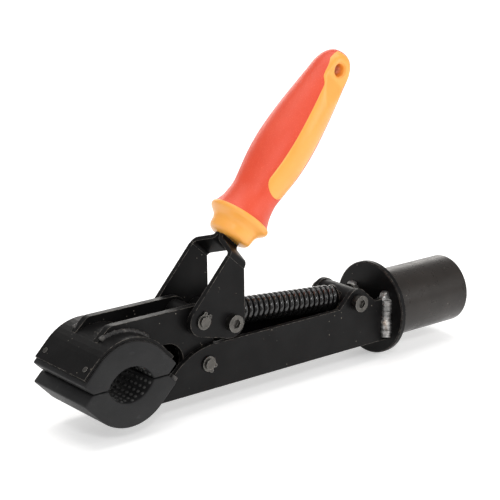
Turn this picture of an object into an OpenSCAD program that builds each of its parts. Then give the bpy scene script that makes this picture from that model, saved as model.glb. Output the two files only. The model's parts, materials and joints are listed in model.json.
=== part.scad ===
// Toggle clamp electrode holder: a welded channel frame on a tail tube, a fixed and a
// swinging half-round jaw, a hand lever, and a sprung strut that locks past centre.
// The origin is on the tail tube's axis at the flange's rear face. The tube points along +X,
// the jaws along -X, the width runs along Y and +Z is up.

/* [Tail] */
// Outer diameter of the tail tube
tube_d = 42.4; // [36:0.1:52]
// Wall of the tail tube
tube_wall = 3.2; // [2:0.1:5]
// Length of the tail tube behind the flange
tube_len = 62.9; // [40:0.1:90]
// Diameter of the flange disc
flange_d = 57.8; // [54:0.1:72]
// Thickness of the flange disc
flange_t = 4; // [3:0.5:8]
// Height of the tube's axis above the channel's underside
tube_axis_h = 16.6; // [14:0.1:20]

/* [Channel] */
// Outer width of the channel
channel_w = 31.4; // [30:0.1:38]
// Plate thickness of the channel
channel_wall = 3; // [2.4:0.1:3.6]
// Height of the channel's side walls
channel_h = 26.7; // [25:0.1:28]
// Radius of the trunnion ears
ear_r = 8.3; // [7.8:0.1:9.5]

/* [Linkage] */
// Distance from the flange's rear face forward to the jaw pivot
jaw_pivot_back = 143.4; // [135:0.1:180]
// Height of the jaw pivot above the channel's underside
jaw_pivot_h = 16; // [14:0.1:17]
// Distance from the flange's rear face forward to the trunnion
trunnion_back = 29.4; // [27:0.1:32]
// Height of the trunnion above the channel's underside
trunnion_h = 28.8; // [28:0.1:30]
// Diameter of the two pivot pins
pin_d = 6; // [5:0.1:7]
// Diameter of the strut bolt and trunnion screws
screw_d = 6; // [5:0.1:7]
// Diameter of the socket heads
head_d = 10; // [9:0.1:11]
// Running clearance on a radius
run_fit = 0.05; // [0.02:0.01:0.1]
// Side gap between parts that turn against each other
side_gap = 0.3; // [0.2:0.05:0.4]

/* [Jaws] */
// Distance from the jaw pivot forward to the jaw centre
jaw_reach = 59; // [57:0.1:68]
// Width of the jaw pads
pad_w = 50; // [44:0.5:62]
// Outer radius of a jaw pad
pad_r = 28; // [27:0.1:29]
// Radius of the gripping bore
bore_r = 16; // [12:0.5:18]
// Depth of the gripping bore in each pad
bore_depth = 10; // [8:0.5:12]
// Gap between the closed pads
parting_gap = 0.4; // [0.3:0.1:2]
// Thickness of the upper shell plate
shell_t = 2; // [1.5:0.1:3]
// Thickness of the lower saddle plate
saddle_t = 3.4; // [3:0.1:4]

/* [Arm and lever plates] */
// Thickness of the jaw arm plates
arm_t = 4; // [3:0.1:5]
// Thickness of the lever's yoke plates
yoke_t = 3; // [2.4:0.1:4]
// Clear width between an arm plate and its yoke plate
yoke_gap = 2.7; // [2:0.1:4]

/* [Strut] */
// Outside diameter of the spring
spring_d = 16; // [14:0.1:16.4]
// Wire diameter of the spring
wire_d = 3; // [2:0.1:3.4]
// Number of spring turns
spring_turns = 20; // [12:1:22]
// Diameter of the guide rod
rod_d = 7; // [6:0.1:7.4]
// Diameter of the trunnion barrel
barrel_d = 15.5; // [15:0.1:16]

/* [Grip] */
// Length of the grip
grip_len = 131; // [110:1:150]
// Widest radius of the grip's lower rim
rim_r = 18; // [16:0.1:20]
// Widest radius of the grip's swell
swell_r = 16.8; // [14:0.1:18]
// Radius of the hanging hole
hang_r = 3.8; // [3:0.1:4.6]

/* [Hidden] */
$fn = 64;
e = 1;                                        // run-out of a cut past the face it opens
wide = 200;                                   // longer than any cut needs
z_floor = -tube_axis_h;
shell_inset = 1.5;                            // each side, the shell is narrower than the pad
saddle_front = 38;                            // the saddle stops this far from the front tip
rivet_up = 6;                                 // rivets stand this far up the slope from the tips
rivet_deep = 5;                               // and go this far into the pad
half_w = channel_w / 2;
half_in = half_w - channel_wall;              // channel's inner half width
arm_out = half_in - side_gap;
arm_in = arm_out - arm_t;
yoke_in = arm_out + yoke_gap;
yoke_out = yoke_in + yoke_t;

root_weld = 3;                                // leg of the weld round the tube's root
root_bevel = 1.2;

// Pivots and centres as [x, z]
jaw_p = [-jaw_pivot_back, jaw_pivot_h + z_floor];
lever_p = jaw_p + [-5.5, 26.4];
strut_p = lever_p + [20.5, -4.7];
trun_p = [-trunnion_back, trunnion_h + z_floor];
jaw_c = jaw_p + [-jaw_reach, 4];
shell_c = jaw_c + [0, -4];                    // centre of the upper pad's outer arc
pad_tip = [pad_r + 2, 5.5];                   // rear tip of a pad about the jaw centre
pin_r = pin_d / 2;
screw_r = screw_d / 2;
arm_lobe_r = 8;
yoke_lobe_r = 8.8;
strut_lobe_r = 9.2;
front_r = 40;                                 // rounding of the channel walls' front top corner
circlip_t = 1.2;
circlip_gap = 0.1;
pin_proud = 2.4;                              // a pin stands this far out of its outer plate
screw_bite = 7;                               // trunnion screws go this far into the barrel
circlip_r = pin_r + 1.4;
head_h = 4;

// Strut axis from the strut bolt to the trunnion
strut_v = trun_p - strut_p;
strut_len = norm(strut_v);
strut_tilt = atan2(strut_v[1], strut_v[0]);
eye_r = 6.6;
eye_half = yoke_in - side_gap;
collar_at = 9.2;                              // spring seat's distance behind the strut bolt
collar_t = 2.4;
seat_flat = 6;                                // trunnion centre to its flat spring seat
seat_t = 1.2;
rod_miss = 1.9;                               // free way round the rod in the trunnion
rod_hole_r = rod_d / 2 + rod_miss;
spring_from = collar_at + collar_t;
spring_to = strut_len - seat_flat - seat_t - side_gap;

// Grip axis: it starts here and leans back by grip_tilt from +X
grip_p = lever_p + [30, 36.6];
grip_tilt = 49;
neck_to = 2;                                  // the bent yoke plates meet here, along the axis
neck_half = 7;
neck_step = 0.15;                             // the neck is this much slimmer than the plate it grows from
tang_half_gap = 0.3;
bend_r = 4.2;                                 // radius of both bends at the plate's middle
bend_turn = 68;
plate_mid = (yoke_in + yoke_out) / 2;
tang_mid = tang_half_gap + yoke_t / 2;
bend_run = (plate_mid - tang_mid - 2 * bend_r * (1 - cos(bend_turn))) / tan(bend_turn);
neck_from = neck_to - 2 * bend_r * sin(bend_turn) - bend_run;
tang_len = 62;
core_r = 8;
tip_half = 8.4;                               // half thickness of the grip's flattened tip
inlay_depth = 6.5;                            // the inlays' backs are this far from the centre plane

// ---------- shared shapes ----------

// Places a flat outline, drawn as [x, z], as a plate from y0 to y1
module plate(y0, y1) {
    translate([0, y1, 0]) rotate([90, 0, 0]) linear_extrude(y1 - y0) children();
}

module at(p) {
    translate(p) children();
}

// A pin along Y at point p
module pin(p, r, y0, y1) {
    plate(y0, y1) at(p) circle(r);
}

// A ring along Y at point p
module ring(p, r_out, r_in, y0, y1) {
    plate(y0, y1) at(p) difference() {
        circle(r_out);
        circle(r_in);
    }
}

// Points on an arc round c, one every 6 degrees or so
function arc(c, r, from, to) = let(n = ceil(abs(to - from) / 6))
    [for (i = [0:n]) let(a = from + (to - from) * i / n) c + r * [cos(a), sin(a)]];

// Retaining ring with two eyelets; turn sets where its gap points
module circlip(p, y0, y1, turn) {
    plate(y0, y1) at(p) rotate(turn) difference() {
        union() {
            circle(circlip_r);
            for (s = [-1, 1]) rotate(s * 24) at([circlip_r + 0.2, 0]) circle(1.2);
        }
        circle(pin_r);
        polygon([[0, 0], [wide / 10, -1.6], [wide / 10, 1.6]]);
        for (s = [-1, 1]) rotate(s * 24) at([circlip_r + 0.3, 0]) circle(0.5);
    }
}

// Socket head screw along +Y: the head's underside is at y0
module socket_screw(p, y0, tip) {
    difference() {
        union() {
            pin(p, head_d / 2, y0, y0 + head_h);
            pin(p, screw_r, tip, y0 + e / 2);
        }
        plate(y0 + head_h / 2, y0 + head_h + e) at(p) circle(2.9, $fn = 6);
    }
}

// ---------- tail ----------

module tube_section(r_in, r_out, x0, x1, ease) {
    rotate([0, 90, 0]) rotate_extrude() polygon([[r_in, x0], [r_out, x0], [r_out, x1 - ease],
        [r_out - ease, x1], [r_in + ease, x1], [r_in, x1 - ease]]);
}

// The tube's root is bevelled for its weld
module mounting_tube() {
    color("#2a2522") difference() {
        tube_section(tube_d / 2 - tube_wall, tube_d / 2, 0, tube_len, 0.8);
        root_ring(wide);
    }
}

// Everything outside the tube's root bevel, out to radius r
module root_ring(r) {
    rotate([0, 90, 0]) rotate_extrude() polygon([[tube_d / 2 - root_bevel, -e], [tube_d / 2 - root_bevel, 0],
        [tube_d / 2, root_weld], [r, root_weld], [r, -e]]);
}

module mounting_flange() {
    ease = 0.6;
    color("#262423") rotate([0, 90, 0]) rotate_extrude() polygon([[0, -flange_t],
        [flange_d / 2 - ease, -flange_t], [flange_d / 2, ease - flange_t], [flange_d / 2, -ease],
        [flange_d / 2 - ease, 0], [0, 0]]);
}

module tube_weld_ring() {
    color("#5a5550") intersection() {
        root_ring(wide);
        rotate([0, 90, 0]) rotate_extrude() polygon(concat([[tube_d / 2 - root_bevel - e, 0]],
            arc([tube_d / 2, 0], root_weld, 0, 90), [[tube_d / 2 - root_bevel - e, root_weld]]));
    }
}

// ---------- channel frame ----------

// Side outline of the channel: eased front top corner, slanted front end, round trunnion ears
module channel_outline() {
    top = z_floor + channel_h;
    toe = [jaw_p[0] - 38.7, z_floor];
    difference() {
        polygon(concat([[-flange_t, z_floor], toe], arc([jaw_p[0] + 5, top - front_r], front_r, 136, 90),
            [[trun_p[0] - 14, top]], arc(trun_p, ear_r, 125, 55), [[trun_p[0] + 15, top], [-flange_t, top]]));
        at(jaw_c) mirror([0, 1]) pad_block(saddle_t);
    }
}

module frame_channel() {
    color("#242322") difference() {
        plate(-half_w, half_w) channel_outline();
        translate([-wide * 1.5, -half_in, z_floor + channel_wall]) cube([wide * 3, 2 * half_in, wide]);
        pin(jaw_p, pin_r + run_fit / 2, -half_w - e, half_w + e);
        pin(trun_p, screw_r + run_fit, -half_w - e, half_w + e);
    }
}

// Quarter-round fillets between the channel's walls and the flange
module channel_weld_beads() {
    bead = 3.2;
    color("#a8a49e") for (s = [-1, 1]) intersection() {
        translate([-flange_t, s * half_w, z_floor + 1]) cylinder(r = bead, h = channel_h - 1.5);
        translate([-flange_t - wide, s > 0 ? half_w : -half_w - wide, -wide / 2]) cube(wide);
    }
}

// ---------- jaws ----------

// Outline of an upper pad about the jaw centre, without its bore, grown by a plate's thickness
module pad_block(grow) {
    tip = pad_tip + grow * [cos(45), sin(45)];
    foot = tip[0] - tip[1];
    polygon(concat([[-foot, 0], [-tip[0], tip[1]]], arc([0, -4], pad_r + grow, 135, 45), [tip, [foot, 0]]));
}

module pad_outline() {
    difference() {
        intersection() {
            pad_block(0);
            at([-wide / 2, parting_gap / 2]) square(wide);
        }
        at([0, bore_depth - bore_r]) circle(bore_r, $fn = 96);
    }
}

// Bent plate on a pad's outside, cut square this far short of the pad's rear and front tips
module cradle_outline(t, rear, front) {
    foot = pad_tip[0] - pad_tip[1];
    rear_cut = foot - rear * sqrt(2);
    front_cut = foot - front * sqrt(2);
    apex = [(rear_cut - front_cut) / 2, -(rear_cut + front_cut) / 2];
    intersection() {
        difference() {
            pad_block(t);
            pad_block(0);
        }
        polygon([apex, apex + [wide, wide], apex + [-wide, wide]]);
    }
}

module lower_jaw_pad() {
    color("#3b3b3d") difference() {
        plate(-pad_w / 2, pad_w / 2) at(jaw_c) mirror([0, 1]) pad_outline();
        lower_rivets();
    }
}

module upper_jaw_pad() {
    color("#3b3b3d") difference() {
        plate(-pad_w / 2, pad_w / 2) at(jaw_c) pad_outline();
        upper_rivets();
    }
}

module lower_jaw_saddle() {
    color("#242322") difference() {
        plate(-half_w, half_w) at(jaw_c) mirror([0, 1]) cradle_outline(saddle_t, 1, saddle_front);
        lower_rivets();
    }
}

module upper_jaw_shell() {
    color("#2b2a29") difference() {
        plate(shell_inset - pad_w / 2, pad_w / 2 - shell_inset) at(jaw_c) cradle_outline(shell_t, 3.5, 3);
        upper_rivets();
    }
}

// Beads where the channel's slanted front ends meet the saddle's rear slope
module saddle_weld_beads() {
    bead = 2.4;
    root = jaw_p + [-24, 14.2 - jaw_pivot_h];
    color("#35322f") for (s = [-1, 1]) difference() {
        translate([root[0], s * half_w, root[1]]) rotate([0, -135, 0]) cylinder(r = bead, h = 18);
        plate(-wide, wide) at(jaw_c) mirror([0, 1]) pad_block(saddle_t);
        frame_channel();
    }
}

// A rivet through a plate of thickness t, standing at the origin on the pad's surface
module rivet(r, head_r, rise, t) {
    translate([0, 0, -rivet_deep]) cylinder(r = r, h = rivet_deep + t);
    translate([0, 0, t]) cylinder(r = head_r, h = rise);
}

// Small rivets at the four corners of the upper shell
module upper_rivets() {
    y = pad_w / 2 - 6;
    for (side = [-1, 1], across = [-y, y])
        translate([jaw_c[0] + side * (pad_tip[0] - rivet_up), across, jaw_c[1] + pad_tip[1] + rivet_up])
            rotate([0, side * 45, 0]) rivet(1.1, 1.5, 0.3, shell_t);
}

// Rivets through the saddle's rear slope into the lower pad
module lower_rivets() {
    y = half_w - 6.7;
    for (across = [-y, y])
        translate([jaw_c[0] + pad_tip[0] - rivet_up, across, jaw_c[1] - pad_tip[1] - rivet_up])
            rotate([0, 135, 0]) rivet(2, 3, 1, saddle_t);
}

module lower_pad_rivets() {
    color("#8e8c88") lower_rivets();
}

module upper_pad_rivets() {
    color("#8e8c88") upper_rivets();
}

// ---------- swinging jaw arm ----------

module arm_outline() {
    top = lever_p[1] + arm_lobe_r;
    difference() {
        polygon(concat(arc(jaw_p, arm_lobe_r + 0.5, -165, 11), arc(lever_p, arm_lobe_r, 11, 90),
            arc([shell_c[0] - 3, top - 5], 5, 90, 135), [shell_c + [-13.2, 27], shell_c + [-12, 24],
            shell_c + [5, 12], jaw_p + [-22, 2]]));
        at(jaw_c) pad_block(shell_t);
        at(jaw_p + [-27, 4.3]) circle(12);
        at(lever_p) circle(pin_r + run_fit);
        at(jaw_p) circle(pin_r + run_fit);
    }
}

module arm_plate_left() {
    color("#242322") plate(arm_in, arm_out) arm_outline();
}

module arm_plate_right() {
    color("#242322") plate(-arm_out, -arm_in) arm_outline();
}

// Fillets along the arm plates' outer feet on the shell
module arm_weld_beads() {
    bead = 2;
    color("#35322f") for (s = [-1, 1]) translate([shell_c[0], s * arm_out, shell_c[1]])
        rotate([-90 * s, 0, 0]) rotate_extrude(angle = s * 64, start = s * -112)
            at([pad_r + shell_t, 0]) intersection() {
                circle(bead);
                square(wide);
            }
}

module jaw_pin_spacer() {
    color("#4a4846") ring(jaw_p, 5.5, pin_r + run_fit, -arm_in, arm_in);
}

module lever_pin_spacer() {
    color("#4a4846") ring(lever_p, 6.2, pin_r + run_fit, -arm_in, arm_in);
}

module lever_pin_washers() {
    color("#4a4846") for (s = [-1, 1]) ring(lever_p, 6.5, pin_r + run_fit,
        s > 0 ? arm_out : side_gap - yoke_in, s > 0 ? yoke_in - side_gap : -arm_out);
}

module jaw_pivot_pin() {
    color("#6e6c69") pin(jaw_p, pin_r, -half_w - pin_proud, half_w + pin_proud);
}

module jaw_pin_circlips() {
    y0 = half_w + circlip_gap;
    color("#8e8c88") {
        circlip(jaw_p, y0, y0 + circlip_t, -45);
        circlip(jaw_p, -y0 - circlip_t, -y0, -45);
    }
}

// ---------- lever ----------

// Flat part of a yoke plate, from the pivots up to the line where it bends inward
module yoke_outline() {
    difference() {
        polygon(concat(arc(lever_p, yoke_lobe_r, 135, 256), arc(strut_p, strut_lobe_r, 256, 362),
            [neck_edge(1), neck_edge(-1)]));
        at(lever_p) circle(pin_r);
        at(strut_p) circle(screw_r);
    }
}

// Corner of the bend line on the grip's front (-1) or rear (1) side
function neck_edge(side) = grip_p + neck_from * [cos(grip_tilt), sin(grip_tilt)]
    + side * neck_half * [sin(grip_tilt), -cos(grip_tilt)];

// Draws children along the grip's axis: their X runs up the grip, Y across the object
module along_grip() {
    translate([grip_p[0], 0, grip_p[1]]) rotate([0, -grip_tilt, 0]) children();
}

// The bent neck and tang of a yoke plate, on the +Y side: two equal bends, then straight up the grip
module yoke_neck() {
    half = neck_half - neck_step;
    half_t = yoke_t / 2 - neck_step;
    first = [neck_from, plate_mid - bend_r];
    second = [neck_to, tang_mid + bend_r];
    turned = 90 - bend_turn;
    root = 2;                                 // the neck starts this far inside its plate
    along_grip() translate([0, 0, -half]) linear_extrude(2 * half) polygon(concat(
        [[neck_from - root, plate_mid + half_t / 2]], arc(first, bend_r + half_t, 90, turned),
        arc(second, bend_r - half_t, turned + 180, 270), [[neck_to + tang_len, tang_mid + half_t]],
        [[neck_to + tang_len, tang_mid - half_t]], arc(second, bend_r + half_t, 270, turned + 180),
        arc(first, bend_r - half_t, turned, 90), [[neck_from - root, plate_mid - half_t / 2]]));
}

module yoke_plate_left() {
    color("#242322") {
        plate(yoke_in, yoke_out) yoke_outline();
        yoke_neck();
    }
}

module yoke_plate_right() {
    color("#242322") {
        plate(-yoke_out, -yoke_in) yoke_outline();
        mirror([0, 1, 0]) yoke_neck();
    }
}

module lever_pivot_pin() {
    color("#6e6c69") pin(lever_p, pin_r, -yoke_out - pin_proud, yoke_out + pin_proud);
}

module lever_pin_circlips() {
    y0 = yoke_out + circlip_gap;
    color("#8e8c88") {
        circlip(lever_p, y0, y0 + circlip_t, 55);
        circlip(lever_p, -y0 - circlip_t, -y0, 55);
    }
}

// The strut bolt's head is on the -Y side and its nut on the +Y side
module strut_bolt() {
    color("#7a7876") mirror([0, 1, 0]) socket_screw(strut_p, yoke_out, -yoke_out - 6);
}

module strut_bolt_nut() {
    color("#7a7876") plate(yoke_out, yoke_out + 5) at(strut_p) difference() {
        circle(5.8, $fn = 6);
        circle(screw_r);
    }
}

// ---------- grip ----------

// Half outline of the grip as [radius, distance along the axis]
function collar_outline() = [[0, 2], [9, 2], [12.2, 3.6], [13.2, 6.5], [14.2, 10], [rim_r, 13],
    [rim_r, 15.8], [rim_r - 1.2, 17.5], [0, 17.5]];

function sleeve_outline() = [[0, 17.5], [rim_r - 1.4, 17.5], [rim_r - 3.6, 24], [13.9, 32], [14.8, 40],
    [16.3, 52], [swell_r, 64], [swell_r - 0.4, 76], [15, 90], [13.4, 103], [12.2, 112],
    [10.4, grip_len - 9], [7, grip_len - 2.5], [0, grip_len]];

function core_outline() = [[0, 17], [core_r, 17], [core_r, grip_len - 22], [0, grip_len - 22]];

module grip_turn(outline) {
    along_grip() rotate([0, 90, 0]) rotate_extrude() polygon(outline);
}

module tang_slot() {
    slot = 2 * (tang_half_gap + yoke_t);
    along_grip() translate([-wide, -slot / 2, -neck_half]) cube([wide + neck_to + tang_len, slot, 2 * neck_half]);
}

// Hanging hole through the grip's tip, across the object
module hang_bore(r) {
    along_grip() translate([grip_len - 12, wide / 2, 1]) rotate([90, 0, 0]) cylinder(r = r, h = wide);
}

module grip_core() {
    color("#f28c1e") difference() {
        union() {
            grip_turn(collar_outline());
            grip_turn(core_outline());
        }
        tang_slot();
    }
}

// What the flattened sides of the grip's tip take off, on the +Y side
module tip_flat() {
    along_grip() translate([0, 0, -wide / 2]) linear_extrude(wide) polygon([[grip_len - 35, 14.4],
        [grip_len - 19, tip_half], [grip_len + e, tip_half], [grip_len + e, wide], [grip_len - 35, wide]]);
}

// Long recess for an inlay in the side of the sleeve
module inlay_space(depth) {
    along_grip() translate([0, wide, 0]) rotate([90, 0, 0]) linear_extrude(wide - depth) {
        at([42, -1.2]) circle(8.6);
        at([42, -9.8]) square([grip_len - 42 + e, 17.2]);
    }
}

module grip_sleeve() {
    color("#c8372d") difference() {
        grip_turn(sleeve_outline());
        grip_turn(core_outline());
        inlay_space(inlay_depth);
        mirror([0, 1, 0]) inlay_space(inlay_depth);
        hang_bore(hang_r);
        tip_flat();
        mirror([0, 1, 0]) tip_flat();
    }
}

module grip_inlays() {
    color("#f28c1e") for (m = [0, 1]) mirror([0, m, 0]) difference() {
        intersection() {
            grip_turn(sleeve_outline());
            inlay_space(inlay_depth);
        }
        grip_turn(core_outline());
        hang_bore(hang_r);
        tip_flat();
    }
}

// ---------- strut ----------

// Draws children about the strut's axis: their Z runs from the strut bolt towards the trunnion
module along_strut() {
    translate([strut_p[0], 0, strut_p[1]]) rotate([0, 90 - strut_tilt, 0]) children();
}

module strut_eye() {
    color("#2b2a29") difference() {
        union() {
            pin(strut_p, eye_r, -eye_half, eye_half);
            along_strut() cylinder(r = 5.5, h = collar_at);
        }
        pin(strut_p, screw_r + run_fit, -wide, wide);
        along_strut() cylinder(r = rod_d / 2, h = wide);
    }
}

module guide_rod() {
    tail = 15;
    color("#6e6c69") difference() {
        along_strut() cylinder(r = rod_d / 2, h = strut_len + tail);
        pin(strut_p, eye_r - 1.4, -wide, wide);
    }
}

module spring_front_seat() {
    color("#2b2a29") along_strut() translate([0, 0, collar_at]) difference() {
        cylinder(r = spring_d / 2, h = collar_t);
        translate([0, 0, -e]) cylinder(r = rod_d / 2, h = wide);
    }
}

module rod_stop_washer() {
    color("#6e6c69") along_strut() translate([0, 0, strut_len + barrel_d / 2 + 0.4]) difference() {
        cylinder(r = 7, h = 1);
        translate([0, 0, -e]) cylinder(r = rod_d / 2, h = wide);
    }
}

module rod_stop_nut() {
    color("#6e6c69") along_strut() translate([0, 0, strut_len + barrel_d / 2 + 1.4]) difference() {
        cylinder(r = 5.8, h = 4.5, $fn = 6);
        translate([0, 0, -e]) cylinder(r = rod_d / 2, h = wide);
    }
}

// One point of the wire's outline: turn t counts from the front seat, a goes round the wire
function wire_point(t, a) = let(
    coil_r = (spring_d - wire_d) / 2,
    r = coil_r + wire_d / 2 * cos(a),
    z = spring_from + wire_d / 2 + (spring_to - spring_from - wire_d) * t / spring_turns)
    [r * cos(360 * t), r * sin(360 * t), z + wire_d / 2 * sin(a)];

module compression_spring() {
    sides = 6;
    steps = 16;
    rings = spring_turns * steps;
    color("#1d1c1c") along_strut() polyhedron(
        points = [for (i = [0:rings], k = [0:sides - 1]) wire_point(i / steps, 360 * k / sides)],
        faces = concat(
            [[for (k = [0:sides - 1]) k]],
            [for (i = [0:rings - 1], k = [0:sides - 1]) let(n = (k + 1) % sides)
                [i * sides + k, (i + 1) * sides + k, (i + 1) * sides + n, i * sides + n]],
            [[for (k = [sides - 1:-1:0]) rings * sides + k]]));
}

// ---------- trunnion ----------

module along_trunnion() {
    translate([trun_p[0], 0, trun_p[1]]) rotate([0, 90 - strut_tilt, 0]) children();
}

module trunnion_barrel() {
    half = half_in - side_gap;
    color("#2b2a29") difference() {
        pin(trun_p, barrel_d / 2, -half, half);
        pin(trun_p, screw_r, -half - e, e - half + screw_bite);
        pin(trun_p, screw_r, half - screw_bite - e, half + e);
        along_trunnion() translate([0, 0, -wide / 2]) cylinder(r = rod_hole_r, h = wide);
        along_trunnion() translate([-wide / 2, -spring_d / 2, -seat_flat - wide]) cube([wide, spring_d, wide]);
    }
}

module trunnion_screws() {
    y0 = half_w + side_gap;
    color("#7a7876") for (m = [0, 1]) mirror([0, m, 0])
        socket_screw(trun_p, y0, half_in - side_gap - screw_bite);
}

module spring_rear_seat() {
    color("#2b2a29") along_trunnion() translate([0, 0, -seat_flat - seat_t]) difference() {
        cylinder(r = spring_d / 2 - 0.2, h = seat_t);
        translate([0, 0, -e]) cylinder(r = rod_hole_r, h = wide);
    }
}

mounting_tube();
mounting_flange();
tube_weld_ring();
frame_channel();
channel_weld_beads();
lower_jaw_saddle();
saddle_weld_beads();
lower_jaw_pad();
lower_pad_rivets();
jaw_pivot_pin();
jaw_pin_circlips();
arm_plate_left();
arm_plate_right();
upper_jaw_shell();
upper_jaw_pad();
upper_pad_rivets();
arm_weld_beads();
jaw_pin_spacer();
lever_pin_spacer();
lever_pin_washers();
yoke_plate_left();
yoke_plate_right();
lever_pivot_pin();
lever_pin_circlips();
strut_bolt();
strut_bolt_nut();
grip_core();
grip_sleeve();
grip_inlays();
strut_eye();
guide_rod();
spring_front_seat();
rod_stop_nut();
rod_stop_washer();
compression_spring();
trunnion_barrel();
trunnion_screws();
spring_rear_seat();
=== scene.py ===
"""Looks of a toggle clamp electrode holder: materials, grip, pads, spring and weld beads, in metres."""
import json
import math
import random

import bpy
import bmesh
from mathutils import Matrix, Vector


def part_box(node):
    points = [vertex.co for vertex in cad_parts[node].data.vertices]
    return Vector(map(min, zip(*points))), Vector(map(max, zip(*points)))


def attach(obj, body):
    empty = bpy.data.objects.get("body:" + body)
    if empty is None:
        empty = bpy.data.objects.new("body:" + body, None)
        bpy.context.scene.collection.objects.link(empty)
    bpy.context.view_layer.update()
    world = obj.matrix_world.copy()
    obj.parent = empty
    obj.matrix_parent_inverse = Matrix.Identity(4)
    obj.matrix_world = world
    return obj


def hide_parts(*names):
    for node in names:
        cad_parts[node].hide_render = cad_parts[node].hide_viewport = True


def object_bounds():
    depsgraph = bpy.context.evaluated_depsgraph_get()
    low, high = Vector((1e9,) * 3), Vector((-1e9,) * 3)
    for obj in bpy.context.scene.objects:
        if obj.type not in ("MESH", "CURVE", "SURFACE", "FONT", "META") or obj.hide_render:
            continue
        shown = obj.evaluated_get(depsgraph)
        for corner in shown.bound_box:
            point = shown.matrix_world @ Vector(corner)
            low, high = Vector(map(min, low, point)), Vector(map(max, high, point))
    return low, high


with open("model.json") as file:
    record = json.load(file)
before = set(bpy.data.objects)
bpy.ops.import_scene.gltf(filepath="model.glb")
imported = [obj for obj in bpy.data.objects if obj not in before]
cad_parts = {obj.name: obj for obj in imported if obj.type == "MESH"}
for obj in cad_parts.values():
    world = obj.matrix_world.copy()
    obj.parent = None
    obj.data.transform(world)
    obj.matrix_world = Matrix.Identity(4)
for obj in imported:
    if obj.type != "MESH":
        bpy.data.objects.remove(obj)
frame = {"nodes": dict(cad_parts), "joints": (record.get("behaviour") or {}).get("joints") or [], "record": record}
CAD_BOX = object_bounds()
NODES = frame["nodes"]
JOINTS = {j["name"]: Vector(j["pos_m"]) for j in frame["joints"]}
MM = 0.001


# ---------- camera, floor and light ----------

def make_camera():
    """The camera looks at the object from its jaw end and left side, a little from above."""
    azimuth, elevation, roll = math.radians(40.04), math.radians(16.14), math.radians(0.547)
    forward = Vector((math.sin(azimuth) * math.cos(elevation), math.cos(azimuth) * math.cos(elevation),
                      -math.sin(elevation)))
    right = forward.cross(Vector((0, 0, 1))).normalized()
    up = right.cross(forward)
    turned = right * math.cos(roll) + up * math.sin(roll)
    data = bpy.data.cameras.new("camera")
    data.lens, data.sensor_width = 112.9, 36
    data.clip_end = 50
    camera = bpy.data.objects.new("camera", data)
    axes = Matrix((turned, turned.cross(forward), -forward)).transposed()
    camera.matrix_world = Matrix.Translation((-0.6555, -0.6603, 0.3037)) @ axes.to_4x4()
    bpy.context.scene.collection.objects.link(camera)
    bpy.context.scene.camera = camera


def area_light(name, place, aim, size, power, colour=(1, 1, 1)):
    data = bpy.data.lights.new(name, "AREA")
    data.shape, data.size, data.size_y = "RECTANGLE", size[0], size[1]
    data.energy, data.color = power, colour
    light = bpy.data.objects.new(name, data)
    light.location = place
    light.rotation_euler = (Vector(aim) - Vector(place)).to_track_quat("-Z", "Y").to_euler()
    bpy.context.scene.collection.objects.link(light)


def make_studio():
    world = bpy.data.worlds.new("studio")
    bpy.context.scene.world = world
    world.use_nodes = True
    back = world.node_tree.nodes["Background"]
    back.inputs["Color"].default_value = (1.0, 1.0, 1.0, 1)
    back.inputs["Strength"].default_value = 0.42
    bpy.context.scene.view_settings.view_transform = "Standard"
    middle = (-0.06, 0, 0.03)
    area_light("top_soft", (-0.05, 0.1, 1.1), middle, (1.2, 0.9), 6.5, (1.0, 0.985, 0.96))
    area_light("left_strip", (-0.95, -0.35, 0.55), middle, (0.35, 0.9), 0.9)
    area_light("right_fill", (0.55, -0.9, 0.5), middle, (0.5, 0.7), 3.0)
    area_light("back_soft", (1.3, 2.2, 0.75), middle, (3.0, 1.0), 24, (1.0, 0.97, 0.93))
    area_light("key", (-0.75, -1.0, 0.9), middle, (0.22, 0.22), 3.8)
    floor_mesh = bpy.data.meshes.new("floor")
    half, low = 6.0, CAD_BOX[0][2] - 0.0002
    corners = ((-half, -half), (half, -half), (half, half), (-half, half))
    floor_mesh.from_pydata([(x, y, low) for x, y in corners], [], [(0, 1, 2, 3)])
    floor = bpy.data.objects.new("floor", floor_mesh)
    bpy.context.scene.collection.objects.link(floor)
    floor_mesh.materials.append(floor_material())


def floor_material():
    m = bpy.data.materials.new("pale_floor")
    m.use_nodes = True
    shader = m.node_tree.nodes["Principled BSDF"]
    shader.inputs["Base Color"].default_value = (0.93, 0.93, 0.93, 1)
    shader.inputs["Roughness"].default_value = 0.9
    shader.inputs["Emission Color"].default_value = (1, 1, 1, 1)
    shader.inputs["Emission Strength"].default_value = 0.4
    return m


# ---------- materials ----------

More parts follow.
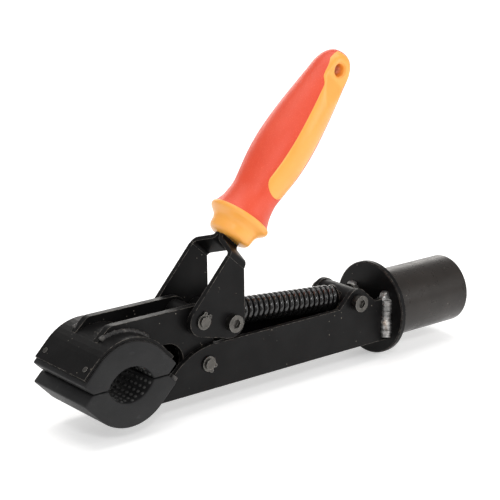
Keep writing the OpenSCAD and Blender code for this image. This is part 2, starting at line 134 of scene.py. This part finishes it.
class Nodes:
    """Short calls for building a material's node tree."""

    def __init__(self, name):
        self.material = bpy.data.materials.new(name)
        self.material.use_nodes = True
        self.tree = self.material.node_tree
        self.shader = self.tree.nodes["Principled BSDF"]
        self.place = self.add("ShaderNodeTexCoord").outputs["Object"]

    def add(self, kind, **settings):
        node = self.tree.nodes.new(kind)
        for key, value in settings.items():
            setattr(node, key, value)
        return node

    def link(self, a, b):
        self.tree.links.new(a, b)

    def put(self, value, socket):
        if isinstance(value, bpy.types.NodeSocket):
            self.link(value, socket)
        else:
            socket.default_value = value

    def noise(self, scale, detail=4.0, rough=0.55, place=None):
        n = self.add("ShaderNodeTexNoise")
        self.link(place or self.place, n.inputs["Vector"])
        n.inputs["Scale"].default_value = scale
        n.inputs["Detail"].default_value = detail
        n.inputs["Roughness"].default_value = rough
        return n.outputs["Fac"]

    def cells(self, scale, feature="F1"):
        n = self.add("ShaderNodeTexVoronoi", feature=feature)
        self.link(self.place, n.inputs["Vector"])
        n.inputs["Scale"].default_value = scale
        return n

    def stretched(self, x, y, z):
        n = self.add("ShaderNodeMapping")
        self.link(self.place, n.inputs["Vector"])
        n.inputs["Scale"].default_value = (x, y, z)
        return n.outputs["Vector"]

    def ramp(self, value, low, high, out=(0.0, 1.0)):
        n = self.add("ShaderNodeMapRange")
        self.link(value, n.inputs["Value"])
        for key, v in (("From Min", low), ("From Max", high), ("To Min", out[0]), ("To Max", out[1])):
            n.inputs[key].default_value = v
        return n.outputs["Result"]

    def math(self, operation, a, b=0.0):
        n = self.add("ShaderNodeMath", operation=operation)
        self.put(a, n.inputs[0])
        self.put(b, n.inputs[1])
        return n.outputs[0]

    def mix(self, factor, a, b):
        n = self.add("ShaderNodeMix", data_type="RGBA")
        self.put(factor, n.inputs["Factor"])
        self.put(a, n.inputs["A"])
        self.put(b, n.inputs["B"])
        return n.outputs["Result"]

    def soft_edges(self, radius):
        """Normals rounded at the edges, and how strongly each point is on an edge."""
        bevel = self.add("ShaderNodeBevel", samples=6)
        bevel.inputs["Radius"].default_value = radius
        here = self.add("ShaderNodeNewGeometry").outputs["Normal"]
        dot = self.add("ShaderNodeVectorMath", operation="DOT_PRODUCT")
        self.link(bevel.outputs["Normal"], dot.inputs[0])
        self.link(here, dot.inputs[1])
        return bevel.outputs["Normal"], self.math("SUBTRACT", 1.0, dot.outputs["Value"])

    def bump(self, height, strength, distance, normal=None):
        n = self.add("ShaderNodeBump")
        n.inputs["Strength"].default_value = strength
        n.inputs["Distance"].default_value = distance
        self.link(height, n.inputs["Height"])
        if normal is not None:
            self.link(normal, n.inputs["Normal"])
        return n.outputs["Normal"]

    def finish(self, colour, rough, normal=None, **fixed):
        self.put(colour, self.shader.inputs["Base Color"])
        self.put(rough, self.shader.inputs["Roughness"])
        if normal is not None:
            self.link(normal, self.shader.inputs["Normal"])
        for key, value in fixed.items():
            self.shader.inputs[key.replace("_", " ")].default_value = value
        return self.material


def rgb(r, g, b):
    return (r, g, b, 1.0)


def painted_steel(name, base, worn, rough=0.36, level=0.11, edge_radius=0.0004):
    """Thin dark coating with orange-peel, faint mottling, dust specks and lightly worn edges."""
    n = Nodes(name)
    edge_normal, edge = n.soft_edges(edge_radius)
    mottle = n.ramp(n.noise(55), 0.35, 0.7)
    tint = n.mix(mottle, base, rgb(*(min(1.0, c * 1.5 + 0.002) for c in base[:3])))
    specks = n.cells(330).outputs["Distance"]
    dust = n.math("MULTIPLY", n.ramp(specks, 0.13, 0.07), n.ramp(n.noise(90, 2), 0.54, 0.62))
    dusty = n.mix(n.math("MULTIPLY", dust, 0.7), tint, rgb(0.33, 0.30, 0.25))
    chips = n.ramp(n.noise(420, 3), 0.36, 0.62)
    wear = n.math("MULTIPLY", n.ramp(edge, 0.01, 0.11), chips)
    colour = n.mix(n.math("MULTIPLY", wear, 0.9), dusty, worn)
    roughness = n.ramp(n.noise(140, 5), 0.3, 0.75, (rough - 0.06, rough + 0.1))
    peel = n.math("ADD", n.noise(1900, 2), n.math("MULTIPLY", n.noise(420, 3), 0.7))
    return n.finish(colour, roughness, n.bump(peel, 0.16, 0.0003, edge_normal), IOR=1.5,
                    Specular_IOR_Level=level)


def bare_steel(name, base, rough=0.34):
    """Grey phosphated steel with fine turning marks and darker pits."""
    n = Nodes(name)
    edge_normal, edge = n.soft_edges(0.00025)
    stain = n.ramp(n.noise(260, 5, 0.6), 0.35, 0.7)
    tint = n.mix(stain, rgb(*(c * 0.55 for c in base[:3])), base)
    colour = n.mix(n.ramp(edge, 0.02, 0.2), tint, rgb(0.5, 0.48, 0.45))
    roughness = n.ramp(n.noise(600, 4), 0.3, 0.7, (rough - 0.08, rough + 0.14))
    grain = n.noise(2600, 3)
    return n.finish(colour, roughness, n.bump(grain, 0.25, 0.0001, edge_normal), Metallic=1.0)


def weld_metal():
    """Fused metal: silver ripples, blue-brown heat tint and specks of black scale."""
    n = Nodes("weld_metal")
    heat = n.ramp(n.noise(110, 4), 0.32, 0.68)
    tint = n.mix(heat, rgb(0.16, 0.158, 0.155), rgb(0.62, 0.61, 0.60))
    warm = n.mix(n.ramp(n.noise(120, 3), 0.55, 0.75), tint, rgb(0.46, 0.34, 0.25))
    scale = n.ramp(n.noise(240, 4), 0.50, 0.70)
    colour = n.mix(n.math("MULTIPLY", scale, 0.8), warm, rgb(0.05, 0.047, 0.045))
    roughness = n.ramp(n.noise(400, 4), 0.3, 0.7, (0.22, 0.45))
    return n.finish(colour, roughness, n.bump(n.noise(900, 4), 0.25, 0.0002), Metallic=0.85)


def dark_weld():
    """A bead that was painted over, a little brighter on its crests."""
    n = Nodes("painted_weld")
    _, edge = n.soft_edges(0.0006)
    base = n.mix(n.ramp(n.noise(400, 4), 0.5, 0.7), rgb(0.018, 0.017, 0.017), rgb(0.09, 0.084, 0.078))
    colour = n.mix(n.ramp(edge, 0.02, 0.2), base, rgb(0.16, 0.15, 0.14))
    return n.finish(colour, 0.42, n.bump(n.noise(1500, 4), 0.4, 0.0003), Metallic=0.3)


def jaw_insulation(name, painted_highlight):
    """Matte dark grey moulding with a fine grain and faint scuffs; its edges are worn paler, and the second
    argument lightens the whole surface as a painted highlight.
    """
    n = Nodes(name)
    edge_normal, edge = n.soft_edges(0.0005)
    cloud = n.ramp(n.noise(70, 5), 0.3, 0.72)
    tint = n.mix(cloud, rgb(0.0075, 0.0075, 0.008), rgb(0.0135, 0.0135, 0.014))
    grain = n.noise(3000, 3)
    fleck = n.mix(n.ramp(grain, 0.62, 0.75), tint, rgb(0.045, 0.045, 0.045))
    scuff = n.ramp(n.noise(60, 6, 0.7, n.stretched(1, 9, 3)), 0.60, 0.72)
    scuffed = n.mix(n.math("MULTIPLY", scuff, 0.3), fleck, rgb(0.07, 0.07, 0.07))
    # Edges are worn paler; the second argument lifts the whole surface to the same paler grey, as a painted
    # highlight (used for the studs).
    colour = n.mix(n.math("MAXIMUM", n.ramp(edge, 0.03, 0.3), painted_highlight), scuffed, rgb(0.060, 0.060, 0.058))
    return n.finish(colour, n.ramp(grain, 0.3, 0.7, (0.48, 0.62)),
                    n.bump(grain, 0.3, 0.0002, edge_normal), Specular_IOR_Level=0.28)


def spring_steel():
    """Gloss black drawn wire with fine lengthwise marks."""
    n = Nodes("spring_steel")
    drift = n.ramp(n.noise(160, 4), 0.35, 0.7)
    tint = n.mix(drift, rgb(0.006, 0.006, 0.0063), rgb(0.013, 0.0125, 0.012))
    marks = n.noise(900, 4)
    return n.finish(tint, n.ramp(marks, 0.3, 0.7, (0.10, 0.18)), n.bump(marks, 0.04, 0.0001), IOR=1.6)


def moulded_plastic(name, base, deep, rough, coat):
    """Glossy moulded plastic with soft colour drift and a very light texture."""
    n = Nodes(name)
    edge_normal, _ = n.soft_edges(0.0005)
    drift = n.ramp(n.noise(26, 3), 0.3, 0.7)
    colour = n.mix(drift, base, deep)
    texture = n.noise(1700, 3)
    return n.finish(colour, n.ramp(texture, 0.3, 0.7, (rough - 0.05, rough + 0.08)),
                    n.bump(texture, 0.08, 0.0002, edge_normal), IOR=1.48, Coat_Weight=coat,
                    Coat_Roughness=0.25, Subsurface_Weight=0.06, Subsurface_Scale=0.002)


def soft_rubber():
    """Soft-touch red rubber with a fine sandy grain and a slight bloom."""
    n = Nodes("grip_red")
    drift = n.ramp(n.noise(30, 4), 0.3, 0.72)
    colour = n.mix(drift, rgb(0.74, 0.060, 0.021), rgb(0.80, 0.080, 0.030))
    grain = n.noise(1700, 4, 0.6)
    speckled = n.mix(n.ramp(grain, 0.56, 0.72), colour, rgb(0.86, 0.135, 0.062))
    return n.finish(speckled, n.ramp(grain, 0.3, 0.7, (0.34, 0.46)), n.bump(grain, 0.5, 0.0003),
                    IOR=1.5, Sheen_Weight=0.02, Sheen_Roughness=0.4,
                    Subsurface_Weight=0.05, Subsurface_Scale=0.0015)


def make_materials():
    worn = rgb(0.30, 0.27, 0.235)
    return {
        "black_steel": painted_steel("black_steel", rgb(0.0040, 0.0038, 0.0039), worn),
        "tube_black": painted_steel("tube_black", rgb(0.0175, 0.0145, 0.0125), worn, 0.3, 0.26),
        "bright_steel": bare_steel("bright_steel", rgb(0.125, 0.119, 0.11)),
        "jaw_insulation": jaw_insulation("jaw_insulation", 0.0),
        # Studs: the insulation lightened all over, a painted highlight on their domes.
        "studs_painted_highlight": jaw_insulation("studs_painted_highlight", 0.85),
        "spring_steel": spring_steel(),
        "weld_metal": weld_metal(),
        "painted_weld": dark_weld(),
        "grip_orange": moulded_plastic("grip_orange", rgb(0.98, 0.455, 0.085), rgb(0.96, 0.40, 0.065),
                                       0.34, 0.25),
        "grip_red": soft_rubber(),
    }


# ---------- mesh helpers ----------

def new_piece(name, points, faces, material, body, slot, *replaced, smooth=True):
    mesh = bpy.data.meshes.new(name)
    mesh.from_pydata([tuple(p) for p in points], [], faces)
    return dress(name, mesh, material, body, slot, *replaced, smooth=smooth)


def dress(name, mesh, material, body, slot, *replaced, smooth=True):
    """Gives a mesh its object, material and body, with all normals pointing outward; the slot argument is not
    used.
    """
    work = bmesh.new()
    work.from_mesh(mesh)
    bmesh.ops.remove_doubles(work, verts=work.verts, dist=1e-7)
    bmesh.ops.recalc_face_normals(work, faces=work.faces)
    work.to_mesh(mesh)
    work.free()
    for face in mesh.polygons:
        face.use_smooth = smooth
    mesh.materials.append(material)
    piece = bpy.data.objects.new(name, mesh)
    bpy.context.scene.collection.objects.link(piece)
    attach(piece, body)
    if replaced:
        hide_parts(*replaced)
    return piece


def apply_modifiers(piece):
    """Bakes the piece's modifiers into its mesh."""
    graph = bpy.context.evaluated_depsgraph_get()
    baked = bpy.data.meshes.new_from_object(piece.evaluated_get(graph))
    piece.modifiers.clear()
    piece.data = baked


def rings_to_faces(rings, around, closed_ends=True):
    """Faces between successive rings of points, with fans of one face on the ends."""
    faces = [(i * around + k, i * around + (k + 1) % around, (i + 1) * around + (k + 1) % around,
              (i + 1) * around + k) for i in range(rings - 1) for k in range(around)]
    if closed_ends:
        faces.append(tuple(range(around))[::-1])
        faces.append(tuple((rings - 1) * around + k for k in range(around)))
    return faces


def smooth_curve(points, count):
    """Evenly parameterised points on a smooth curve through the given (a, b) pairs."""
    out = []
    spans = len(points) - 1
    for i in range(count):
        t = i / (count - 1) * spans
        k = min(int(t), spans - 1)
        u = t - k
        p = [points[max(0, min(spans, k + d))] for d in (-1, 0, 1, 2)]
        out.append(tuple(0.5 * (2 * p[1][a] + (p[2][a] - p[0][a]) * u
                                + (2 * p[0][a] - 5 * p[1][a] + 4 * p[2][a] - p[3][a]) * u * u
                                + (3 * p[1][a] - p[0][a] - 3 * p[2][a] + p[3][a]) * u ** 3)
                         for a in (0, 1)))
    return out


# ---------- grip ----------

GRIP_TILT = math.radians(49)
GRIP_START = JOINTS["lever_pivot"] + Vector((30, 0, 36.6)) * MM
UP_GRIP = Vector((math.cos(GRIP_TILT), 0, math.sin(GRIP_TILT)))
REAR_OF_GRIP = Vector((math.sin(GRIP_TILT), 0, -math.cos(GRIP_TILT)))
HANG_AT, HANG_REAR, HANG_RADIUS = 119, -1.0, 3.8
# Outlines as (distance up the grip, radius) in millimetres
COLLAR = [(2.0, 6.5), (2.1, 8.8), (3.0, 11.3), (4.6, 12.7), (6.8, 13.1), (9, 13.4), (11, 14.3),
          (12.6, 15.9), (14.0, 17.5), (15.2, 18.2), (16.5, 18.1), (17.1, 17.4), (16.6, 15.8)]
SLEEVE = [(14, 16.4), (17.0, 17.3), (18.6, 16.5), (21.5, 15.4), (25.5, 14.5), (32, 13.9), (40, 14.8),
          (52, 16.3), (64, 16.8), (76, 16.3), (90, 15.0), (103, 13.4), (112, 12.2), (119, 11.3),
          (125, 9.3), (129, 6.2), (130.7, 2.6)]
# Half thickness of the flattened tip, and the stretch over which the grip narrows to it
TIP_HALF, TIP_FROM, TIP_TO = 8.4, 96, 112
FULL_HALF = 15.0


def grip_point(s, rear, side):
    """A point s up the grip, this far to its rear and to the object's side, all in millimetres."""
    return GRIP_START + (UP_GRIP * s + REAR_OF_GRIP * rear) * MM + Vector((0, side, 0)) * MM


def flattened(s, side):
    """Eases a sideways distance down towards the grip's flattened tip."""
    t = min(1.0, max(0.0, (s - TIP_FROM) / (TIP_TO - TIP_FROM)))
    limit = FULL_HALF + (TIP_HALF - FULL_HALF) * t
    bend = 1.2
    over = abs(side) - limit
    if t == 0.0 or over < -bend:
        return side
    eased = limit if over > bend else limit - (bend - over) ** 2 / (4 * bend)
    return math.copysign(eased, side)


def turned_grip(outline, count, around):
    points = []
    for s, r in smooth_curve(outline, count):
        for k in range(around):
            a = math.tau * k / around
            points.append(grip_point(s, r * math.cos(a), flattened(s, r * math.sin(a))))
    return points, rings_to_faces(count, around)


def radius_at(s):
    for (s0, r0), (s1, r1) in zip(SLEEVE_FINE, SLEEVE_FINE[1:]):
        if s0 <= s <= s1:
            return r0 + (r1 - r0) * (s - s0) / (s1 - s0)
    return SLEEVE_FINE[-1][1]


SLEEVE_FINE = smooth_curve(SLEEVE, 240)


def inlay_edges(s):
    """The inlay's front and rear edges: round start, narrowing run, wider head round the hole."""
    start, front, rear_low, rear_high = 34.0, 7.6, 10.4, 8.4
    along = min(1.0, max(0.0, (s - 44) / 60))
    rear = rear_low + (rear_high - rear_low) * along
    if s < start + front:
        fill = math.sqrt(max(0.0, 1 - ((start + front - s) / front) ** 2))
        middle = (rear - front) / 2
        half = max(0.3, (front + rear) / 2 * fill)
        return middle - half, middle + half
    head = min(1.0, max(0.0, (s - 105) / 5))
    front += 2.0 * head * head * (3 - 2 * head)
    limit = radius_at(s) * 0.90
    return max(-front, -limit), min(rear, limit)


def inlay_ring(s, side, at_end):
    """One closed section of an inlay: its face, with rounded borders, and then its back."""
    low, high = inlay_edges(s)
    r = radius_at(s)
    border, proud, sunk, deep, steps = 0.7, 0.22, -0.7, 3.0, 12
    border = min(border, (high - low) * 0.2)
    inner = [low + border + (high - low - 2 * border) * k / steps for k in range(steps + 1)]
    across = [low, low + border * 0.35] + inner + [high - border * 0.35, high]
    lifts = [sunk, proud * 0.3] + [proud] * (steps + 1) + [proud * 0.3, sunk]
    if at_end:
        lifts = [sunk] * len(lifts)
    heights = [flattened(s, math.sqrt(max(0.01, r * r - x * x))) for x in across]
    ring = [grip_point(s, x, side * (h + up)) for x, h, up in zip(across, heights, lifts)]
    back = [grip_point(s, x, side * max(0.3, h - deep))
            for x, h in zip(reversed(across), reversed(heights))]
    return ring + back


def hang_liner(side):
    """Tube that lines the hanging hole from the middle out to an inlay's face."""
    around, wall = 64, 1.1
    levels = [(HANG_RADIUS, 0.0), (HANG_RADIUS, TIP_HALF - 0.5), (HANG_RADIUS + 0.35, TIP_HALF - 0.05),
              (HANG_RADIUS + wall, TIP_HALF + 0.15), (HANG_RADIUS + wall, 0.0)]
    points = [grip_point(HANG_AT + r * math.sin(math.tau * k / around),
                         HANG_REAR + r * math.cos(math.tau * k / around), side * y)
              for r, y in levels for k in range(around)]
    faces = rings_to_faces(len(levels), around, closed_ends=False)
    last = (len(levels) - 1) * around
    faces += [(k, last + k, last + (k + 1) % around, (k + 1) % around) for k in range(around)]
    return points, faces


def drill_hang_hole(piece):
    """Cuts the hanging hole a little wide, so that the cut's wall lies inside the liner's."""
    radius = (HANG_RADIUS + 0.6) * MM
    centre = Matrix.Translation(grip_point(HANG_AT, HANG_REAR, 0))
    cutter_mesh = bpy.data.meshes.new("hang_cutter")
    work = bmesh.new()
    bmesh.ops.create_cone(work, cap_ends=True, segments=64, radius1=radius, radius2=radius, depth=0.1,
                          matrix=centre @ Matrix.Rotation(math.radians(90), 4, "X"))
    work.to_mesh(cutter_mesh)
    work.free()
    cutter = bpy.data.objects.new("hang_cutter", cutter_mesh)
    bpy.context.scene.collection.objects.link(cutter)
    cut = piece.modifiers.new("hang_hole", "BOOLEAN")
    cut.operation, cut.solver, cut.object = "DIFFERENCE", "EXACT", cutter
    apply_modifiers(piece)
    bpy.data.objects.remove(cutter)


def make_grip(looks):
    points, faces = turned_grip(COLLAR, 60, 96)
    new_piece("grip_collar", points, faces, looks["grip_orange"], "lever", "grip_orange", "grip_core")
    points, faces = turned_grip(SLEEVE, 150, 96)
    sleeve = new_piece("grip_red_sleeve", points, faces, looks["grip_red"], "lever", "grip_red",
                       "grip_sleeve")
    drill_hang_hole(sleeve)
    rounded = [34.0 + 1.2 * (k / 8) ** 2 for k in range(8)]
    stops = rounded + [35.2 + k * 1.25 for k in range(75)] + [128.6, 129.2]
    for side, name in ((-1, "left"), (1, "right")):
        points = [p for i, s in enumerate(stops) for p in inlay_ring(s, side, i in (0, len(stops) - 1))]
        around = len(points) // len(stops)
        inlay = new_piece("grip_inlay_" + name, points, rings_to_faces(len(stops), around),
                          looks["grip_orange"], "lever", "grip_orange", "grip_inlays")
        drill_hang_hole(inlay)
        points, faces = hang_liner(side)
        new_piece("hang_liner_" + name, points, faces, looks["grip_orange"], "lever", "grip_orange")


# ---------- jaw pads ----------

PARTING = (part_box("upper_jaw_pad")[0][2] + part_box("lower_jaw_pad")[1][2]) / 2
JAW = Vector(((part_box("upper_jaw_pad")[0][0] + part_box("upper_jaw_pad")[1][0]) / 2, 0, PARTING))
PAD_HALF_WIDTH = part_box("upper_jaw_pad")[1][1] / MM
BORE_RADIUS, BORE_DROP = 16, 6


def arc(centre, radius, start, stop, count):
    angles = [math.radians(start + (stop - start) * k / count) for k in range(count + 1)]
    return [(centre[0] + radius * math.cos(a), centre[1] + radius * math.sin(a)) for a in angles]


def pad_outline():
    """Section of an upper pad about the jaw centre, in millimetres."""
    gap, mouth = 0.2, 22.8
    bore = arc((0, -BORE_DROP), BORE_RADIUS, mouth, 180 - mouth, 40)
    return [(-24.6, gap), (-30, 5.5)] + arc((0, -4), 28, 135, 45, 36) + [(30, 5.5), (24.6, gap)] + bore


def dome(work, centre, axis, radius, height):
    """A low round stud standing on a surface, its axis pointing out of that surface."""
    frame_ = axis.to_track_quat("Z", "Y").to_matrix().to_4x4()
    place = Matrix.Translation(centre) @ frame_ @ Matrix.Diagonal((1, 1, height / radius, 1))
    bmesh.ops.create_uvsphere(work, u_segments=12, v_segments=8, radius=radius, matrix=place)


def make_pad(name, node, body, flip, looks):
    outline = pad_outline()
    count = len(outline)
    points = [JAW + Vector((x, y, z * flip)) * MM
              for y in (-PAD_HALF_WIDTH, PAD_HALF_WIDTH) for x, z in outline]
    faces = [tuple(range(count)), tuple(range(count, 2 * count))[::-1]]
    faces += [(k, (k + 1) % count, (k + 1) % count + count, k + count) for k in range(count)]
    pad = new_piece(name, points, faces, looks["jaw_insulation"], body, "jaw_insulation", node,
                    smooth=False)
    bevel = pad.modifiers.new("eased_edges", "BEVEL")
    bevel.width, bevel.segments = 0.9 * MM, 3
    bevel.limit_method, bevel.angle_limit = "ANGLE", math.radians(22)
    apply_modifiers(pad)
    pad.data.shade_smooth()
    pad.data.set_sharp_from_angle(angle=math.radians(32))


def make_studs(name, body, flip, looks):
    """The bore's gripping studs: staggered rows round the bore."""
    work = bmesh.new()
    rows, pitch, first = 10, 3.9, 32
    for row in range(rows):
        a = math.radians(first + (180 - 2 * first) * row / (rows - 1))
        out = Vector((math.cos(a), 0, math.sin(a) * flip))
        stagger = pitch / 2 * (row % 2)
        y = -22.5 + stagger
        while y < 23:
            foot = JAW + (Vector((0, y, -BORE_DROP * flip)) + out * (BORE_RADIUS + 0.1)) * MM
            dome(work, foot, -out, 1.05 * MM, 0.8 * MM)
            y += pitch
    mesh = bpy.data.meshes.new(name)
    work.to_mesh(mesh)
    work.free()
    # The studs take the lighter copy of the insulation, a painted highlight on their domes.
    dress(name, mesh, looks["studs_painted_highlight"], body, "jaw_insulation")


# ---------- spring ----------

def make_spring(looks):
    """Close-ended coil between the strut's collar and the trunnion's seat."""
    start, stop = JOINTS["strut_pivot"], JOINTS["trunnion_pivot"]
    along = (stop - start).normalized()
    across = along.cross(Vector((0, 1, 0))).normalized()
    wire, coil, turns, steps, sides = 1.5, 6.5, 20, 56, 14
    first, last = 11.6 + wire, (stop - start).length / MM - 7.5 - wire
    closed, closed_pitch = 0.9, 2 * wire + 0.15
    open_pitch = (last - first - 2 * closed * closed_pitch) / (turns - 2 * closed)

    def height(t):
        low = min(t, closed) * closed_pitch
        mid = min(max(t - closed, 0), turns - 2 * closed) * open_pitch
        return first + low + mid + max(t - (turns - closed), 0) * closed_pitch

    def centre(t):
        a = math.tau * t
        ring = across * math.cos(a) + Vector((0, 1, 0)) * math.sin(a)
        return start + (along * height(t) + ring * coil) * MM

    points = []
    count = turns * steps + 1
    for i in range(count):
        t = i / steps
        here, ahead, behind = centre(t), centre(t + 0.01), centre(t - 0.01)
        tangent = (ahead - behind).normalized()
        outward = (across * math.cos(math.tau * t) + Vector((0, 1, 0)) * math.sin(math.tau * t))
        side = tangent.cross(outward).normalized()
        for k in range(sides):
            a = math.tau * k / sides
            points.append(here + (outward * math.cos(a) + side * math.sin(a)) * wire * MM)
    new_piece("coil_spring", points, rings_to_faces(count, sides), looks["spring_steel"], "strut",
              "spring_steel", "compression_spring")


# ---------- weld beads ----------

def bead_points(path, radius, pitch, seed):
    """Rings of a rippled bead along a path of points, in metres, with ripples a pitch apart."""
    chance = random.Random(seed)
    per_ripple, sides = 6, 14
    lengths = [0.0]
    for a, b in zip(path, path[1:]):
        lengths.append(lengths[-1] + (b - a).length)
    ripples = max(2, round(lengths[-1] / pitch))
    swell = [1 + chance.uniform(-0.10, 0.10) for _ in range(ripples + 1)]
    points, rings = [], ripples * per_ripple + 1
    for i in range(rings):
        d = lengths[-1] * i / (rings - 1)
        k = min(len(path) - 2, max(j for j, l in enumerate(lengths) if l <= d + 1e-12))
        here = path[k].lerp(path[k + 1], (d - lengths[k]) / (lengths[k + 1] - lengths[k]))
        tangent = (path[k + 1] - path[k]).normalized()
        phase = (i % per_ripple) / per_ripple
        crest = math.sqrt(math.sin(math.pi * (0.12 + 0.88 * phase)))
        r = radius * swell[i // per_ripple] * (0.80 + 0.2 * crest)
        if i in (0, rings - 1):
            r *= 0.45
        side = tangent.orthogonal().normalized()
        other = tangent.cross(side)
        lean = pitch * 0.35
        for s in range(sides):
            a = math.tau * s / sides
            points.append(here + (side * math.cos(a) + other * math.sin(a)) * r
                          + tangent * lean * math.cos(2 * a) * 0.3)
    return points, rings_to_faces(rings, sides)


def make_beads(name, paths, radius, pitch, material, body, *replaced):
    """Several beads as one piece."""
    points, faces = [], []
    for seed, path in enumerate(paths):
        more, these = bead_points(path, radius, pitch, seed + len(name))
        faces += [tuple(v + len(points) for v in f) for f in these]
        points += more
    new_piece(name, points, faces, material, body, "weld_metal", *replaced)


def ring_path(centre, axis_a, axis_b, radius, start, stop, count):
    angles = [math.radians(start + (stop - start) * k / count) for k in range(count + 1)]
    return [centre + (axis_a * math.cos(a) + axis_b * math.sin(a)) * radius for a in angles]


def make_welds(looks):
    channel_low, channel_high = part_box("frame_channel")
    root_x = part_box("mounting_flange")[0][0]
    half = channel_high[1]
    bottom, top = channel_low[2] + 1.5 * MM, channel_low[2] + 26.7 * MM
    paths = []
    for side in (-1, 1):
        outer, inner = side * half, side * (half - 3 * MM)
        paths.append([Vector((root_x, outer, bottom)), Vector((root_x, outer, top - 0.5 * MM)),
                      Vector((root_x, (outer + inner) / 2, top)), Vector((root_x, inner, top - 0.5 * MM)),
                      Vector((root_x, inner, top - 9 * MM))])
    make_beads("channel_welds", paths, 4.3 * MM, 3.0 * MM, looks["weld_metal"], "frame",
               "channel_weld_beads")
    x, y, z = Vector((1, 0, 0)), Vector((0, 1, 0)), Vector((0, 0, 1))
    ring = ring_path(Vector((0, 0, 0)), y, z, 21.2 * MM, 0, 360, 120)
    make_beads("tube_weld", [ring], 2.9 * MM, 1.9 * MM, looks["painted_weld"], "frame", "tube_weld_ring")
    shell_centre = JAW + Vector((0, 0, -4)) * MM
    arm_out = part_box("arm_plate_left")[1][1]
    feet = [ring_path(shell_centre + y * side * arm_out, x, z, 30.1 * MM, 112, 50, 30)
            for side in (-1, 1)]
    make_beads("arm_welds", feet, 1.9 * MM, 1.5 * MM, looks["painted_weld"], "jaw_arm", "arm_weld_beads")


# ---------- the whole object ----------

def finish_cad_nodes(looks):
    """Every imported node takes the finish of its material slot."""
    for entry in frame["record"]["subparts"]:
        node = NODES[entry["node"]]
        node.data.materials.clear()
        painted_over = entry["node"] == "saddle_weld_beads"
        node.data.materials.append(looks["painted_weld" if painted_over else entry["material_slot"]])


make_camera()
make_studio()
LOOKS = make_materials()
finish_cad_nodes(LOOKS)
make_grip(LOOKS)
make_pad("upper_pad", "upper_jaw_pad", "jaw_arm", 1, LOOKS)
make_pad("lower_pad", "lower_jaw_pad", "frame", -1, LOOKS)
make_studs("upper_pad_studs", "jaw_arm", 1, LOOKS)
make_studs("lower_pad_studs", "frame", -1, LOOKS)
make_spring(LOOKS)
make_welds(LOOKS)
